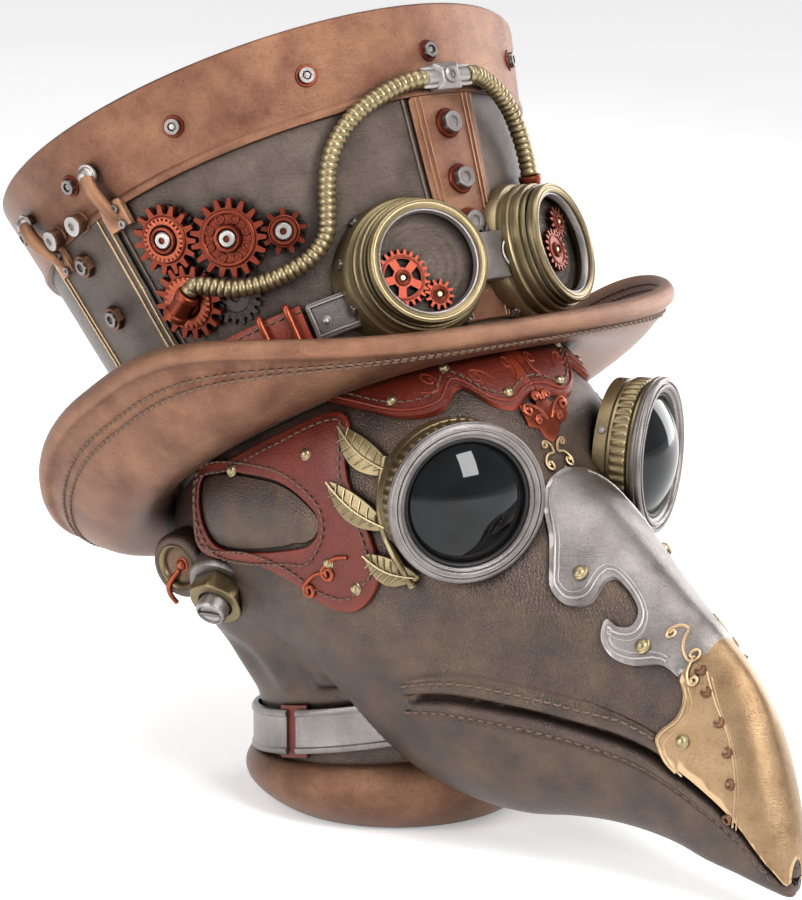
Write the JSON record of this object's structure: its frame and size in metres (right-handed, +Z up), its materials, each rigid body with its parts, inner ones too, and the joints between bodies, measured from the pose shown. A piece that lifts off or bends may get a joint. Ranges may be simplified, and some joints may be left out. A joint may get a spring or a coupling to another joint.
{
  "type": "plague doctor mask",
  "caption": "Beaked plague doctor mask on a hooded head and neck, with glass eyepieces and a tilted top hat that carries goggles, ribbed hoses and a train of gears.",
  "frame": {"origin": "centre of the base's flat underside", "axes": "+Z up, the face looks along -Y, the figure's own right is at -X"},
  "size_m": [0.2258, 0.3456, 0.2817],
  "materials": {
    "dark_leather": "dark leather with a bronze sheen, satin",
    "red_leather": "oxblood leather, satin",
    "copper": "brushed copper-bronze metallic",
    "pewter": "brushed dark pewter metallic",
    "bronze": "worn bronze metallic",
    "brass": "aged brass with a dark wash",
    "gilt": "pale gold metallic",
    "silver": "antique silver metallic",
    "red_copper": "red copper metallic with a dark wash",
    "lens_glass": "black glass cabochon, polished"
  },
  "bodies": {
    "bust": {"neck_base": "bronze", "neck_strap": "silver", "hood": "dark_leather", "mask": "dark_leather", "lower_beak": "dark_leather", "nose_plate": "silver", "beak_sheath": "gilt", "cheek_trim_right": "red_leather", "cheek_trim_left": "red_leather", "leaf_spray_right": "brass", "leaf_spray_left": "brass", "brow_trim_right": "red_leather", "brow_trim_left": "red_leather", "brow_emblem": "red_copper", "ear_nut_right": "brass", "ear_nut_left": "brass", "ear_bolt_right": "silver", "ear_bolt_left": "silver"},
    "hat": {"hat_crown": "pewter", "top_band": "copper", "front_strip": "copper", "side_strip_right": "copper", "side_strip_left": "copper", "front_nut_1": "silver", "front_nut_2": "silver", "front_nut_3": "silver", "brim": "copper", "gear_post_drive": "red_copper", "gear_post_rear": "red_copper", "gear_post_front": "red_copper", "hose_elbow": "red_copper", "hose_coupling": "silver", "long_hose": "brass", "short_hose": "brass", "goggle_cup_right": "brass", "goggle_ring_right": "brass", "goggle_dial_right": "pewter", "goggle_cup_left": "brass", "goggle_ring_left": "brass", "goggle_dial_left": "pewter", "goggle_strap": "red_leather", "strap_end_right": "silver", "strap_end_left": "silver", "goggle_bridge": "silver"},
    "drive_gear": {"gear_drive": "red_copper"},
    "rear_gear": {"gear_rear": "red_copper"},
    "front_gear": {"gear_front": "red_copper"},
    "lower_gear": {"gear_lower": "red_copper"},
    "large_wheel_r": {"large_wheel_right": "red_copper"},
    "small_wheel_r": {"small_wheel_right": "red_copper"},
    "large_wheel_l": {"large_wheel_left": "red_copper"},
    "small_wheel_l": {"small_wheel_left": "red_copper"},
    "eyepiece_r": {"eye_barrel_right": "brass", "eye_rim_right": "silver", "lens_right": "lens_glass"},
    "eyepiece_l": {"eye_barrel_left": "brass", "eye_rim_left": "silver", "lens_left": "lens_glass"}
  },
  "joints": [
    {"name": "hat_lift", "type": "slide", "parent": "bust", "child": "hat", "axis": [0.0349, 0.5147, 0.8566], "range_m": [0, 0.06]},
    {"name": "drive_gear_spin", "type": "hinge", "parent": "hat", "child": "drive_gear", "pos_m": [-0.06757, 0.01039, 0.20776], "axis": [-0.8586, -0.5068, 0.0773], "continuous": true},
    {"name": "rear_gear_spin", "type": "hinge", "parent": "hat", "child": "rear_gear", "pos_m": [-0.07725, 0.0311, 0.20592], "axis": [-0.9419, -0.3342, -0.0341], "continuous": true},
    {"name": "front_gear_spin", "type": "hinge", "parent": "hat", "child": "front_gear", "pos_m": [-0.05654, -0.00442, 0.21056], "axis": [-0.7454, -0.645, 0.1687], "continuous": true},
    {"name": "lower_gear_spin", "type": "hinge", "parent": "hat", "child": "lower_gear", "pos_m": [-0.07368, 0.02332, 0.18516], "axis": [-0.9512, -0.3041, -0.053], "continuous": true},
    {"name": "large_wheel_r_spin", "type": "hinge", "parent": "hat", "child": "large_wheel_r", "pos_m": [-0.03756, -0.04058, 0.19693], "axis": [-0.3433, -0.8632, 0.3702], "continuous": true},
    {"name": "small_wheel_r_spin", "type": "hinge", "parent": "hat", "child": "small_wheel_r", "pos_m": [-0.02708, -0.0473, 0.19097], "axis": [-0.3433, -0.8632, 0.3702], "continuous": true},
    {"name": "large_wheel_l_spin", "type": "hinge", "parent": "hat", "child": "large_wheel_l", "pos_m": [0.03169, -0.04367, 0.19759], "axis": [0.3336, -0.8754, 0.3499], "continuous": true},
    {"name": "small_wheel_l_spin", "type": "hinge", "parent": "hat", "child": "small_wheel_l", "pos_m": [0.03834, -0.03792, 0.20565], "axis": [0.3336, -0.8754, 0.3499], "continuous": true},
    {"name": "eyepiece_r_turn", "type": "hinge", "parent": "bust", "child": "eyepiece_r", "pos_m": [-0.0469, -0.082, 0.1295], "axis": [-0.4226, -0.9063, 0], "continuous": true},
    {"name": "eyepiece_l_turn", "type": "hinge", "parent": "bust", "child": "eyepiece_l", "pos_m": [0.0469, -0.082, 0.1295], "axis": [0.4226, -0.9063, 0], "continuous": true}
  ],
  "couplings": [
    {"joint": "rear_gear_spin", "follows": "drive_gear_spin", "ratio": -1.1333},
    {"joint": "front_gear_spin", "follows": "drive_gear_spin", "ratio": -1.8889},
    {"joint": "lower_gear_spin", "follows": "drive_gear_spin", "ratio": 1.0625},
    {"joint": "small_wheel_r_spin", "follows": "large_wheel_r_spin", "ratio": -2},
    {"joint": "small_wheel_l_spin", "follows": "large_wheel_l_spin", "ratio": -1.3846}
  ]
}
